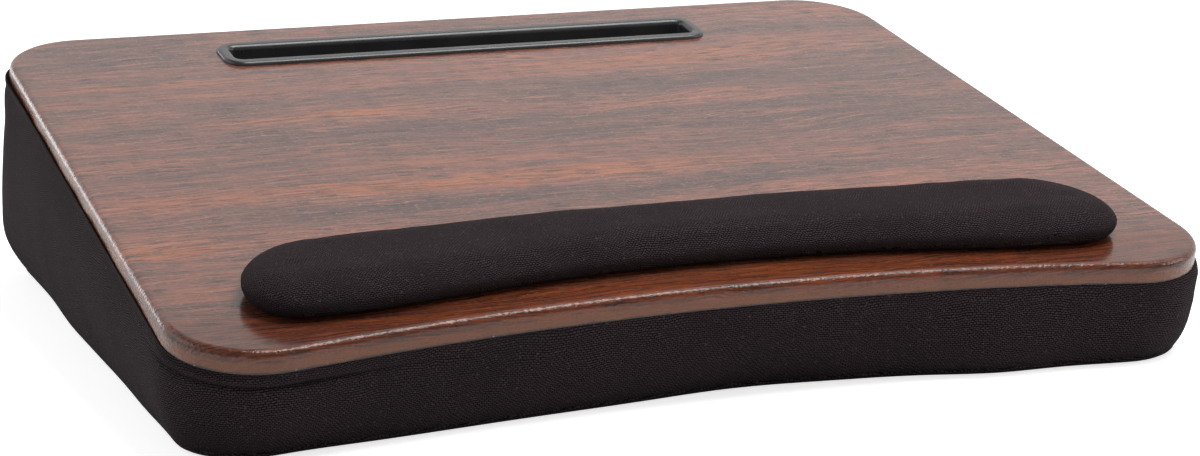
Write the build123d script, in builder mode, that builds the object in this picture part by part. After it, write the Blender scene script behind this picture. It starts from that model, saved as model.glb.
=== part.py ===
from build123d import *
from math import asin, cos, degrees, radians, sin, sqrt, tan
import os

os.makedirs("parts", exist_ok=True)

# A cushioned lap desk: a sloping board with a media slot and a padded wrist rest, on a wedge-shaped
# cushion in a fabric cover. All lengths are in millimetres and all angles in degrees.
# X runs to the user's right, Y away from the user and Z up. The origin is on the floor, in the middle.

# Board
board_width = 508.0
board_depth = 406.4
board_tilt = 10.44
core_thickness = 9.5
film_thickness = 0.4
backing_thickness = 0.3
back_corner_radius = 42.0
front_corner_radius = 40.0
front_bow = 19.0
edge_roll_radius = 3.2
front_height = 51.0

# Media slot and its moulded tray
slot_length = 267.0
slot_width = 20.0
slot_depth = 11.0
slot_corner_radius = 4.0
slot_draft = 2.0
slot_setback = 34.0
slot_offset = -1.8
tray_wall = 1.5
tray_floor = 1.2
tray_rim_width = 7.4
tray_rim_end_width = 6.9
tray_rim_height = 2.2
tray_rim_corner_radius = 11.0
tray_rim_roll = 1.9
tray_mouth_roll = 2.8
tray_fit_gap = 0.3
tray_rib_count = 7
tray_rib_width = 1.6
tray_rib_spacing = 38.0

# Wrist rest: its outline is given at its widest level
rest_setback = 41.0
rest_waist_width = 53.5
rest_waist_half = 136.3
rest_waist_radius = 770.0
rest_lobe_radius = 314.0
rest_front_corner_radius = 24.0
rest_back_corner_radius = 40.0
rest_height = 16.0
rest_wide_level = 7.0
rest_base_inset = 4.0
rest_crown_inset = 19.0
rest_crown_steps = 6
rest_fabric = 0.9
rest_hem_width = 6.0
rest_tape_thickness = 0.8
rest_tape_gap = 120.0
rest_tape_margin = 0.5
rest_plate_thickness = 2.0
rest_foam_gap = 0.2

# Cushion: how far its sides swell beyond the board, where down the side they are widest, and how far
# inside that widest line they meet the floor
front_swell = 2.6
back_swell = 4.2
front_swell_share = 0.25
back_swell_share = 0.66
swell_sharpness = 4
front_draw_in = 12.6
back_draw_in = 20.0
wall_shares = (0.0, 0.035, 0.08, 0.16, 0.30, 0.48, 0.66, 0.80, 0.90, 0.965, 1.0)
cover_fabric = 1.2
cover_seam_height = 3.5
cover_hem_width = 24.0
mounting_plate_thickness = 2.4
memory_layer_thickness = 20.0
foam_gap = 0.25

# Fastenings between the cushion and the board
strip_length = 330.0
strip_width = 28.0
strip_count = 3
strip_spacing = 90.0
strip_setback = 190.0
staple_crown = 11.0
staple_wire = 0.8
staple_length = 2.8
staple_count = 36
staple_margin = 12.0

# Values worked out from the driving dimensions
slope_cos = cos(radians(board_tilt))
slope_sin = sin(radians(board_tilt))
slope_tan = tan(radians(board_tilt))
board_thickness = film_thickness + core_thickness + backing_thickness
underside_front_height = front_height - board_thickness * slope_cos
# The board's underside and the floor meet this far in front of the board's front edge, along the slope
meeting_reach = underside_front_height / slope_sin
back_reach = board_depth / slope_cos + front_height * slope_tan
front_y = -back_reach / 2
meeting_y = front_y + board_thickness * slope_sin - meeting_reach * slope_cos
slot_middle = board_depth - slot_setback - slot_width / 2

# The board's top face, with its own X across and Y up the slope from the front edge
board_top = Plane(
    origin=(0, front_y, front_height), x_dir=(1, 0, 0), z_dir=(0, -slope_sin, slope_cos)
)
core_underside = board_top.offset(-film_thickness - core_thickness)
board_underside = board_top.offset(-board_thickness)
hem_underside = board_underside.offset(-cover_fabric)
plate_underside = hem_underside.offset(-mounting_plate_thickness)
up_from_board = Axis(board_top.origin, board_top.z_dir)


def board_outline(front_side=0.0, back_side=0.0, front=0.0, back=0.0):
    """The board's outline, let out at the two ends of its sides, at the front and at the back."""
    front_arc_radius = (
        ((board_width / 2 - front_corner_radius) ** 2 + front_bow**2) / (2 * front_bow)
        - front_corner_radius
        - front
    )
    front_half = board_width / 2 + front_side
    back_half = board_width / 2 + back_side
    middle = front_bow - front
    front_tip = middle - front_arc_radius + sqrt(front_arc_radius**2 - front_half**2)
    with BuildSketch() as outline:
        with BuildLine():
            front_edge = ThreePointArc((-front_half, front_tip), (0, middle), (front_half, front_tip))
            right_edge = Line(front_edge @ 1, (back_half, board_depth + back))
            back_edge = Line(right_edge @ 1, (-back_half, board_depth + back))
            Line(back_edge @ 1, front_edge @ 0)
        make_face()
        fillet(outline.vertices().group_by(Axis.Y)[0], radius=front_corner_radius + front_side)
        fillet(outline.vertices().group_by(Axis.Y)[-1], radius=back_corner_radius + back_side)
    return outline.sketch


def inner_outline(inset):
    """The board's outline, drawn in by the same amount all round."""
    return board_outline(-inset, -inset, -inset, -inset)


def stands_out(share, swell, swell_share, draw_in):
    """How far a cushion wall stands out beyond the board's edge at this share of its height."""
    if share < swell_share:
        return swell * (1 - (1 - share / swell_share) ** swell_sharpness)
    below = (share - swell_share) / (1 - swell_share)
    return swell - draw_in * (1 - sqrt(1 - below**2))


def cushion_form(inset, top, floor_level):
    """The cushion's swelling form, drawn in by inset, from the plane top down to floor_level."""
    with BuildPart() as form:
        for share in wall_shares:
            # Each section lies on a plane that turns about the line where the board meets the floor
            tilt = board_tilt * (1 - share)
            section = Plane(
                origin=(
                    0,
                    meeting_y + meeting_reach * cos(radians(tilt)),
                    meeting_reach * sin(radians(tilt)),
                ),
                x_dir=(1, 0, 0),
                z_dir=(0, -sin(radians(tilt)), cos(radians(tilt))),
            )
            stretch = 1 / cos(radians(board_tilt - tilt)) - 1
            front_out = stands_out(share, front_swell, front_swell_share, front_draw_in) - inset
            back_out = stands_out(share, back_swell, back_swell_share, back_draw_in) - inset
            with BuildSketch(section):
                add(
                    board_outline(
                        front_out,
                        back_out,
                        front_out - meeting_reach * stretch,
                        back_out + (meeting_reach + board_depth) * stretch,
                    )
                )
        loft()
        split(bisect_by=top, keep=Keep.BOTTOM)
        split(bisect_by=Plane.XY.offset(floor_level), keep=Keep.TOP)
    return form.part


def rest_outline(inset=0.0):
    """The wrist rest's outline at its widest level, drawn in by inset: arcs that run smoothly together."""
    waist_radius = rest_waist_radius + inset
    lobe_radius = rest_lobe_radius - inset
    waist_turn = degrees(asin(rest_waist_half / rest_waist_radius))
    waist_centre = (0, rest_setback - rest_waist_radius)
    centre_gap = rest_waist_radius + rest_lobe_radius
    lobe_centre = (
        centre_gap * sin(radians(waist_turn)),
        waist_centre[1] + centre_gap * cos(radians(waist_turn)),
    )
    front_centre = (lobe_centre[0], lobe_centre[1] - rest_lobe_radius + rest_front_corner_radius)
    end = lobe_centre[0] + rest_front_corner_radius
    back_centre = (end - rest_back_corner_radius, front_centre[1])
    back_level = rest_setback + rest_waist_width
    rise = back_level - back_centre[1]
    back_radius = (back_centre[0] ** 2 + rise**2 - rest_back_corner_radius**2) / (
        2 * (rise - rest_back_corner_radius)
    )
    back_turn = degrees(asin(back_centre[0] / (back_radius - rest_back_corner_radius)))
    with BuildSketch() as outline:
        with BuildLine():
            CenterArc(waist_centre, waist_radius, 90 - waist_turn, waist_turn)
            CenterArc(lobe_centre, lobe_radius, 270 - waist_turn, waist_turn)
            CenterArc(front_centre, rest_front_corner_radius - inset, 270, 90)
            CenterArc(back_centre, rest_back_corner_radius - inset, 0, 90 - back_turn)
            CenterArc((0, back_level - back_radius), back_radius - inset, 90 - back_turn, back_turn)
            mirror(about=Plane.YZ)
        make_face()
    return outline.sketch


def rest_form(inset, height, base_level):
    """The wrist rest's padded form, drawn in by inset, from base_level above the board up to height."""
    # Below its widest level the side draws in along a parabola, above it along a quarter circle
    levels = [(0.0, rest_base_inset), (rest_wide_level / 2, rest_base_inset / 4)]
    for step in range(rest_crown_steps + 1):
        turn = radians(90 * step / rest_crown_steps)
        level = rest_wide_level + (rest_height - rest_wide_level) * sin(turn)
        levels.append((level, rest_crown_inset * (1 - cos(turn))))
    with BuildPart() as form:
        for level, draw_in in levels:
            with BuildSketch(board_top.offset(level * height / rest_height)):
                add(rest_outline(draw_in + inset))
        loft()
        split(bisect_by=board_top.offset(base_level), keep=Keep.TOP)
    return form.part


def slot_outline(margin):
    """The media slot's outline on the board, let out by margin."""
    with BuildSketch() as outline:
        with Locations((slot_offset, slot_middle)):
            RectangleRounded(
                slot_length + 2 * margin, slot_width + 2 * margin, slot_corner_radius + margin
            )
    return outline.sketch


def board_slab(inset, thickness, roll):
    """A slab standing on the board's underside, drawn in by inset, with its top edge rolled."""
    with BuildPart() as slab:
        with BuildSketch(board_underside):
            add(inner_outline(inset))
        extrude(amount=thickness)
        fillet(slab.faces().sort_by(up_from_board)[-1].edges(), radius=roll)
    return slab.part


# Board core: fibreboard with a rolled top edge, and an opening for the tray
with BuildPart() as board_core:
    add(board_slab(film_thickness, board_thickness - film_thickness, edge_roll_radius))
    with BuildSketch(core_underside):
        add(board_outline())
    extrude(amount=-backing_thickness, mode=Mode.SUBTRACT)
    with BuildSketch(board_top):
        add(slot_outline(tray_wall + tray_fit_gap))
    extrude(amount=-board_thickness, mode=Mode.SUBTRACT)
board_core.part.label = "board_core"
export_step(board_core.part, "parts/board_core.step")

# Woodgrain film: wrapped over the core's top and down round its edges
with BuildPart() as woodgrain_film:
    add(board_slab(0, board_thickness, edge_roll_radius + film_thickness))
    add(
        board_slab(film_thickness, board_thickness - film_thickness, edge_roll_radius),
        mode=Mode.SUBTRACT,
    )
    with BuildSketch(board_top):
        add(slot_outline(tray_wall + tray_fit_gap))
    extrude(amount=-board_thickness, mode=Mode.SUBTRACT)
woodgrain_film.part.label = "woodgrain_film"
export_step(woodgrain_film.part, "parts/woodgrain_film.step")

# Backing sheet: a thin sealing foil on the core's underside
with BuildPart() as backing_sheet:
    with BuildSketch(board_underside):
        add(inner_outline(film_thickness))
        add(slot_outline(tray_wall + tray_fit_gap), mode=Mode.SUBTRACT)
    extrude(amount=backing_thickness)
backing_sheet.part.label = "backing_sheet"
export_step(backing_sheet.part, "parts/backing_sheet.step")

# Slot tray: a moulded trough that drops into the opening and hangs by its rim, held by small ribs
tray_fit_width = slot_width + 2 * (tray_wall + tray_fit_gap)
tray_body_depth = slot_depth - tray_rim_height + tray_floor
with BuildPart() as slot_tray:
    with BuildSketch(board_top):
        with Locations((slot_offset, slot_middle)):
            RectangleRounded(
                slot_length + 2 * tray_rim_end_width,
                slot_width + 2 * tray_rim_width,
                tray_rim_corner_radius,
            )
    extrude(amount=tray_rim_height)
    fillet(slot_tray.faces().sort_by(up_from_board)[-1].edges(), radius=tray_rim_roll)
    with BuildSketch(board_top):
        add(slot_outline(tray_wall))
        with Locations((slot_offset, slot_middle)):
            with GridLocations(tray_rib_spacing, 0, tray_rib_count, 1):
                Rectangle(tray_rib_width, tray_fit_width)
    extrude(amount=-tray_body_depth)
    with BuildSketch(board_top.offset(tray_rim_height)):
        add(slot_outline(0))
    extrude(amount=-slot_depth, taper=slot_draft, mode=Mode.SUBTRACT)
    mouth = slot_tray.faces().sort_by(up_from_board)[-1].inner_wires()[0]
    fillet(mouth.edges(), radius=tray_mouth_roll)
slot_tray.part.label = "slot_tray"
export_step(slot_tray.part, "parts/slot_tray.step")

# Wrist rest tape: two lengths of double-sided tape that hold the rest on the board
with BuildPart() as wrist_rest_tape:
    with BuildSketch(board_top):
        add(rest_outline(rest_base_inset + rest_hem_width + rest_tape_margin))
        with Locations((0, rest_setback + rest_waist_width / 2)):
            Rectangle(rest_tape_gap, 2 * rest_waist_width, mode=Mode.SUBTRACT)
    extrude(amount=rest_tape_thickness)
wrist_rest_tape.part.label = "wrist_rest_tape"
export_step(wrist_rest_tape.part, "parts/wrist_rest_tape.step")

# Wrist rest plate: the stiff sheet that the rest's foam and fabric are made up on
rest_lining_inset = rest_fabric + rest_foam_gap
rest_foam_base = rest_tape_thickness + rest_plate_thickness
with BuildPart() as wrist_rest_plate:
    with BuildSketch(board_top.offset(rest_tape_thickness)):
        add(rest_outline(rest_base_inset + rest_lining_inset))
    extrude(amount=rest_plate_thickness)
wrist_rest_plate.part.label = "wrist_rest_plate"
export_step(wrist_rest_plate.part, "parts/wrist_rest_plate.step")

# Wrist rest foam: fills the cover above the plate
with BuildPart() as wrist_rest_foam:
    add(rest_form(rest_lining_inset, rest_height - rest_lining_inset, rest_foam_base))
wrist_rest_foam.part.label = "wrist_rest_foam"
export_step(wrist_rest_foam.part, "parts/wrist_rest_foam.step")

# Wrist rest cover: fabric over the foam, turned under the plate's edge as a hem
with BuildPart() as wrist_rest_cover:
    add(rest_form(0, rest_height, 0))
    add(rest_form(rest_fabric, rest_height - rest_fabric, rest_tape_thickness), mode=Mode.SUBTRACT)
    with BuildSketch(board_top):
        add(rest_outline(rest_base_inset + rest_hem_width))
    extrude(amount=rest_tape_thickness, mode=Mode.SUBTRACT)
wrist_rest_cover.part.label = "wrist_rest_cover"
export_step(wrist_rest_cover.part, "parts/wrist_rest_cover.step")

# Cover staples: wire staples through the cover's hem into the mounting plate, sunk into the fabric
staple_line = inner_outline(staple_margin).wire()
staple_turns = [place / staple_count for place in range(staple_count)]
staple_places = [
    Plane(staple_line @ turn, x_dir=staple_line % turn, z_dir=(0, 0, 1)) for turn in staple_turns
]
with BuildPart(board_underside) as cover_staples:
    with Locations(*staple_places):
        Box(
            staple_crown, staple_wire, staple_wire, align=(Align.CENTER, Align.CENTER, Align.MAX)
        )
        with Locations(((staple_wire - staple_crown) / 2, 0), ((staple_crown - staple_wire) / 2, 0)):
            Box(staple_wire, staple_wire, staple_length, align=(Align.CENTER, Align.CENTER, Align.MAX))
cover_staples.part.label = "cover_staples"
export_step(cover_staples.part, "parts/cover_staples.step")

# Mounting plate: the hardboard sheet in the top of the cushion, which the cover is stretched over
with BuildPart() as mounting_plate:
    with BuildSketch(plate_underside):
        add(inner_outline(cover_fabric + foam_gap))
    extrude(amount=mounting_plate_thickness)
    add(cover_staples.part, mode=Mode.SUBTRACT)
mounting_plate.part.label = "mounting_plate"
export_step(mounting_plate.part, "parts/mounting_plate.step")

# Mounting strips: double-sided foam strips that hold the cushion's plate to the board
with BuildPart() as mounting_strips:
    with BuildSketch(board_underside):
        with Locations((0, strip_setback)):
            with GridLocations(0, strip_spacing, 1, strip_count):
                Rectangle(strip_length, strip_width)
    extrude(amount=-cover_fabric)
mounting_strips.part.label = "mounting_strips"
export_step(mounting_strips.part, "parts/mounting_strips.step")

# Cushion foam: a firm wedge above and a softer memory layer of even thickness below
foam_body = cushion_form(cover_fabric + foam_gap, plate_underside, cover_fabric)
layer_joint = Plane.XY.offset(cover_fabric + memory_layer_thickness)
with BuildPart() as support_wedge:
    add(foam_body)
    split(bisect_by=layer_joint, keep=Keep.TOP)
support_wedge.part.label = "support_wedge"
export_step(support_wedge.part, "parts/support_wedge.step")

with BuildPart() as memory_layer:
    add(foam_body)
    split(bisect_by=layer_joint, keep=Keep.BOTTOM)
memory_layer.part.label = "memory_layer"
export_step(memory_layer.part, "parts/memory_layer.step")

# Cushion cover: a side band with its hem over the mounting plate, sewn to a bottom panel
with BuildPart() as cover_shell:
    add(cushion_form(0, board_underside, 0))
    add(cushion_form(cover_fabric, hem_underside, cover_fabric), mode=Mode.SUBTRACT)
    with BuildSketch(board_underside):
        add(inner_outline(cover_hem_width))
    extrude(amount=-cover_fabric, mode=Mode.SUBTRACT)

seam = Plane.XY.offset(cover_seam_height)
with BuildPart() as cover_side_band:
    add(cover_shell.part)
    split(bisect_by=seam, keep=Keep.TOP)
    add(cover_staples.part, mode=Mode.SUBTRACT)
cover_side_band.part.label = "cover_side_band"
export_step(cover_side_band.part, "parts/cover_side_band.step")

with BuildPart() as cover_bottom_panel:
    add(cover_shell.part)
    split(bisect_by=seam, keep=Keep.BOTTOM)
cover_bottom_panel.part.label = "cover_bottom_panel"
export_step(cover_bottom_panel.part, "parts/cover_bottom_panel.step")
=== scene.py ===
# %% [markdown]
# A cushioned lap desk. Its fixed frame is loaded first: every hard piece is already there at its real
# size, so this script gives each one its finish, and models the soft pieces over the plain solids.

import bpy
from math import atan2, cos, degrees, exp, pi, radians, sin
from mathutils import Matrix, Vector, noise
from mathutils.bvhtree import BVHTree
from mathutils.kdtree import KDTree


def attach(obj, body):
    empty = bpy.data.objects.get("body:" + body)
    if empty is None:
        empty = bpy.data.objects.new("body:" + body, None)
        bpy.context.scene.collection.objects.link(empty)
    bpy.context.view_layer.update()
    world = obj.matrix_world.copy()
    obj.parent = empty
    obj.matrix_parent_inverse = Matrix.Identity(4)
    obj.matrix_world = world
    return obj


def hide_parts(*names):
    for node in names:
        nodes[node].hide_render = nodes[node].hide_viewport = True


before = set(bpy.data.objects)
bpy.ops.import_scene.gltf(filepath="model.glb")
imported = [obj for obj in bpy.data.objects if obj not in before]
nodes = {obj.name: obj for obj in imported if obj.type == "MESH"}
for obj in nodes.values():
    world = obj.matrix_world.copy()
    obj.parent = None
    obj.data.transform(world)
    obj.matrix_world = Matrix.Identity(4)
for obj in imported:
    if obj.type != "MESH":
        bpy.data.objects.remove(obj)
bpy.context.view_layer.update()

# %% [markdown]
# The board slopes. Its slope is measured on the film that covers it: the largest face of its flat top
# gives the angle. From then on a place on the board is given in the board's own millimetres: across
# from the middle, up the slope from the front edge, and out of its top face.

# %% Measure the board
MM = 0.001
BOARD_THICKNESS = 10.2

film = nodes["woodgrain_film"]
top_face = max((face for face in film.data.polygons if face.normal.z > 0.9), key=lambda face: face.area)
board_up = top_face.normal.copy()
board_tilt = atan2(-board_up.y, board_up.z)
board_back = Vector((0, cos(board_tilt), sin(board_tilt)))
board_top_level = top_face.center.dot(board_up)
board_front = min(vertex.co.dot(board_back) for vertex in film.data.vertices)
board_rear = max(vertex.co.dot(board_back) for vertex in film.data.vertices)
board_depth = (board_rear - board_front) / MM


def on_board(across, up_slope, out):
    """The point at these millimetres across, up the slope and out of the board's top face."""
    place = board_back * (board_front + up_slope * MM) + board_up * (board_top_level + out * MM)
    return place + Vector((across * MM, 0, 0))


def board_millimetres(point):
    """How far a point lies across, up the slope and out of the board's top face, in millimetres."""
    return (
        point.x / MM,
        (point.dot(board_back) - board_front) / MM,
        (point.dot(board_up) - board_top_level) / MM,
    )


print("board tilt:", round(degrees(board_tilt), 2), "degrees, depth:", round(board_depth, 1), "mm")

# %% [markdown]
# The camera stands to the left of the lap desk and a little above it, with a long lens, as for a
# catalogue picture. Its place was solved from the board's outline. The shift only moves the picture
# sideways, as a crop does.

# %% Camera
camera_data = bpy.data.cameras.new("camera")
camera = bpy.data.objects.new("camera", camera_data)
bpy.context.scene.collection.objects.link(camera)
camera.location = (-0.50658, -1.25087, 0.34546)
camera.rotation_euler = (radians(90 - 12.702), 0, radians(-21.577))
camera_data.sensor_width = 36
camera_data.lens = 80.97
camera_data.shift_x = 0.04523
bpy.context.scene.camera = camera

# %% [markdown]
# Every material below is a small graph of nodes. One helper turns an sRGB colour as written on a colour
# chart to the linear light that the shader works in, one adds a node with its settings, values and
# links, and one lays a tone over a colour. A mix node's sockets are known by number, so those numbers
# get names. The last helpers are for meshes.

# %% Helpers for colours, nodes and meshes
MIX_A = 6
MIX_B = 7
MIX_RESULT = 2
MIX_FLOAT_A = 2
MIX_FLOAT_B = 3
WHITE = (1, 1, 1, 1)


def linear(hex_colour):
    """An sRGB colour such as "8a4b33" as linear light."""
    parts = [int(hex_colour[i : i + 2], 16) / 255 for i in (0, 2, 4)]
    light = [p / 12.92 if p <= 0.04045 else ((p + 0.055) / 1.055) ** 2.4 for p in parts]
    return (*light, 1.0)


def add_node(tree, kind, values=None, links=None, **settings):
    """Adds a node, makes its settings, fills in its values and links its inputs."""
    made = tree.nodes.new(kind)
    for name, setting in settings.items():
        setattr(made, name, setting)
    for socket, value in (values or {}).items():
        made.inputs[socket].default_value = value
    for socket, source in (links or {}).items():
        tree.links.new(source, made.inputs[socket])
    return made


def lay_over(tree, colour, tone, value, low, high, amount=1.0, ease="SMOOTHSTEP", blend="MIX"):
    """Lays a tone over a colour, from not at all where the value is low to this amount where high."""
    cover = add_node(
        tree, "ShaderNodeMapRange", interpolation_type=ease,
        values={"From Min": low, "From Max": high, "To Max": amount}, links={"Value": value},
    )
    return add_node(
        tree, "ShaderNodeMix", data_type="RGBA", blend_type=blend, values={MIX_B: tone},
        links={0: cover.outputs["Result"], MIX_A: colour},
    ).outputs[MIX_RESULT]


def new_material(name):
    """An empty material with its node tree, its shader and its output."""
    material = bpy.data.materials.new(name)
    material.use_nodes = True
    tree = material.node_tree
    tree.nodes.clear()
    shader = add_node(tree, "ShaderNodeBsdfPrincipled")
    add_node(tree, "ShaderNodeOutputMaterial", links={"Surface": shader.outputs["BSDF"]})
    return material, tree, shader


def select_only(piece):
    """Selects this piece alone and makes it the active one."""
    bpy.ops.object.select_all(action="DESELECT")
    piece.select_set(True)
    bpy.context.view_layer.objects.active = piece


def merge_vertices(piece):
    """Joins the vertices that lie on each other."""
    select_only(piece)
    bpy.ops.object.mode_set(mode="EDIT")
    bpy.ops.mesh.select_all(action="SELECT")
    bpy.ops.mesh.remove_doubles(threshold=0.01 * MM)
    bpy.ops.object.mode_set(mode="OBJECT")


def apply_modifier(piece, kind, **settings):
    """Adds a modifier with these settings and makes its result the piece's own mesh."""
    select_only(piece)
    modifier = piece.modifiers.new("shaping", kind)
    for name, setting in settings.items():
        setattr(modifier, name, setting)
    bpy.ops.object.modifier_apply(modifier="shaping")


def finish(material, *pieces):
    """Gives the pieces this material alone."""
    for piece in pieces:
        piece.data.materials.clear()
        piece.data.materials.append(material)
    print("finish:", material.name, "on", ", ".join(piece.name for piece in pieces))


# %% [markdown]
# The picture is a studio one on white. What lights the object and what is mirrored in it is a world
# painted by direction: bright behind and round the sides, dimmer on the side where the camera stands,
# and dark overhead, where a studio has its ceiling. The lens itself sees plain white. The dark ceiling
# matters: it draws the dark line along each rolled edge, beside the bright line of the lamp.

# %% World
CEILING = 0.10
CAMERA_SIDE = 0.21
BEHIND = 0.92

world = bpy.data.worlds.new("studio")
bpy.context.scene.world = world
world.use_nodes = True
sky = world.node_tree
sky.nodes.clear()
direction = add_node(sky, "ShaderNodeTexCoord")
split = add_node(sky, "ShaderNodeSeparateXYZ", links={0: direction.outputs["Generated"]})
walls = add_node(
    sky, "ShaderNodeMapRange", interpolation_type="SMOOTHSTEP",
    values={"From Min": -0.6, "From Max": 0.35, "To Min": CAMERA_SIDE, "To Max": BEHIND},
    links={"Value": split.outputs["Y"]},
)
overhead = add_node(
    sky, "ShaderNodeMapRange", interpolation_type="SMOOTHSTEP",
    values={"From Min": 0.66, "From Max": 0.86}, links={"Value": split.outputs["Z"]},
)
studio = add_node(
    sky, "ShaderNodeMix", data_type="FLOAT", values={MIX_FLOAT_B: CEILING},
    links={0: overhead.outputs["Result"], MIX_FLOAT_A: walls.outputs["Result"]},
)
ray = add_node(sky, "ShaderNodeLightPath")
strength = add_node(
    sky, "ShaderNodeMix", data_type="FLOAT", values={MIX_FLOAT_B: 1.0},
    links={0: ray.outputs["Is Camera Ray"], MIX_FLOAT_A: studio.outputs[0]},
)
background = add_node(sky, "ShaderNodeBackground", values={"Color": WHITE},
                      links={"Strength": strength.outputs[0]})
add_node(sky, "ShaderNodeOutputWorld", links={"Surface": background.outputs["Background"]})

# %% [markdown]
# Four soft boxes give the shape. The one overhead draws the bright line along the board's rolled edge
# and inside the tray. The one on the left lights the side of the cushion. Two smaller ones are there
# for what they leave in the gloss: the one behind on the left makes the board's left edge pale, and the
# one on the right is mirrored in the front right corner. The lens doesn't see the lamps themselves.

# %% Soft boxes
for name, place, aim, width, height, power in (
    ("overhead_box", (0.44, -0.15, 1.5), (0.0, -0.15, 0.08), 1.15, 0.85, 24.0),
    ("left_box", (-1.5, 0.25, 0.75), (0, 0, 0.08), 1.0, 0.8, 2.2),
    ("back_left_box", (-0.80, 1.36, 0.26), (-0.25, 0.0, 0.08), 0.5, 0.4, 2.5),
    ("right_box", (1.49, -0.73, 0.62), (0.24, -0.2, 0.05), 0.35, 0.5, 3.8),
):
    lamp = bpy.data.lights.new(name, "AREA")
    lamp.shape = "RECTANGLE"
    lamp.size = width
    lamp.size_y = height
    lamp.energy = power
    lamp_object = bpy.data.objects.new(name, lamp)
    bpy.context.scene.collection.objects.link(lamp_object)
    lamp_object.location = place
    lamp_object.rotation_euler = (Vector(aim) - Vector(place)).to_track_quat("-Z", "Y").to_euler()
    lamp_object.visible_camera = False
    print("lamp:", name, power, "W")

# %% [markdown]
# The floor is a plain pale sweep of paper. To the lens, and in the reflections, it is nearly white
# wherever the object doesn't shade it, so its own shading is kept and only lifted.

# %% Floor
GLOW_FOR_LENS = 0.72
GLOW_IN_GLOSS = 0.22

bpy.ops.mesh.primitive_plane_add(size=12, location=(0, 0, 0))
floor = bpy.context.active_object
floor.name = "floor"
floor_paper, tree, shader = new_material("white_paper_sweep")
shader.inputs["Base Color"].default_value = linear("f0f0f0")
shader.inputs["Roughness"].default_value = 0.9
ray = add_node(tree, "ShaderNodeLightPath")
mirrored = add_node(
    tree, "ShaderNodeMath", operation="MAXIMUM",
    links={0: ray.outputs["Is Glossy Ray"], 1: ray.outputs["Is Transmission Ray"]},
)
lifted = add_node(tree, "ShaderNodeMath", operation="MULTIPLY", values={1: GLOW_IN_GLOSS},
                  links={0: mirrored.outputs[0]})
glow = add_node(tree, "ShaderNodeMath", operation="MULTIPLY_ADD", values={1: GLOW_FOR_LENS},
                links={0: ray.outputs["Is Camera Ray"], 2: lifted.outputs[0]})
shader.inputs["Emission Color"].default_value = WHITE
tree.links.new(glow.outputs[0], shader.inputs["Emission Strength"])
finish(floor_paper, floor)

# %% [markdown]
# The board is covered with a printed film: walnut grain on paper under a hard, satin melamine skin,
# wrapped over the rolled edge and down the sides. A print has no depth, so nearly all of it is colour,
# and the skin gives one clear reflection over light and dark alike. The pattern is drawn in the board's
# own millimetres. On the edges it goes on outwards by as much as the surface has gone down, so the
# grain bends over the roll as the real foil does.

# %% Woodgrain: the place on the print
woodgrain, tree, shader = new_material("printed_walnut_melamine")
here = add_node(tree, "ShaderNodeTexCoord").outputs["Object"]
board_place = add_node(
    tree, "ShaderNodeMapping",
    values={
        "Location": (0, -board_front / MM, -board_top_level / MM),
        "Rotation": (-board_tilt, 0, 0),
        "Scale": (1 / MM, 1 / MM, 1 / MM),
    },
    links={"Vector": here},
).outputs["Vector"]
shape = add_node(tree, "ShaderNodeNewGeometry")
facing = add_node(
    tree, "ShaderNodeMapping", vector_type="VECTOR", values={"Rotation": (-board_tilt, 0, 0)},
    links={"Vector": shape.outputs["True Normal"]},
)
board_level = add_node(tree, "ShaderNodeSeparateXYZ", links={0: board_place}).outputs["Z"]
depth_below = add_node(tree, "ShaderNodeMath", operation="MULTIPLY", values={1: -1.0},
                       links={0: board_level})
unrolled = add_node(tree, "ShaderNodeVectorMath", operation="SCALE",
                    links={0: facing.outputs["Vector"], "Scale": depth_below.outputs[0]})
unrolled = add_node(tree, "ShaderNodeVectorMath", operation="ADD",
                    links={0: board_place, 1: unrolled.outputs["Vector"]})
print_place = add_node(tree, "ShaderNodeVectorMath", operation="MULTIPLY", values={1: (1, 1, 0)},
                       links={0: unrolled.outputs["Vector"]}).outputs["Vector"]

# %% [markdown]
# Grain is noise stretched along the board. Each layer below is one size of streak, with its length and
# width in millimetres. Three slow layers move the place at which the others are read, so that the grain
# wanders up and down the slope, as it does in a flat-sawn plank.

# %% Woodgrain: layers of streaks
wander = print_place
for length, width, detail, start, travel in (
    # the travel is how far the grain wanders up and down the slope, in mm
    (210, 60, 2, 4.0, 24.0),
    (46, 15, 2, 17.0, 4.5),
    (13, 5, 1, 29.0, 1.1),
):
    stretched = add_node(
        tree, "ShaderNodeMapping",
        values={"Location": (start, start * 1.7, 0), "Scale": (1 / length, 1 / width, 0)},
        links={"Vector": print_place},
    )
    slow = add_node(tree, "ShaderNodeTexNoise", noise_dimensions="2D",
                    values={"Scale": 1.0, "Detail": detail},
                    links={"Vector": stretched.outputs["Vector"]})
    moved = add_node(
        tree, "ShaderNodeMapRange", clamp=False,
        values={"To Min": -travel / 2, "To Max": travel / 2}, links={"Value": slow.outputs["Fac"]},
    )
    moved = add_node(tree, "ShaderNodeCombineXYZ", links={"Y": moved.outputs["Result"]})
    wander = add_node(tree, "ShaderNodeVectorMath", operation="ADD",
                      links={0: wander, 1: moved.outputs["Vector"]}).outputs["Vector"]

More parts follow.
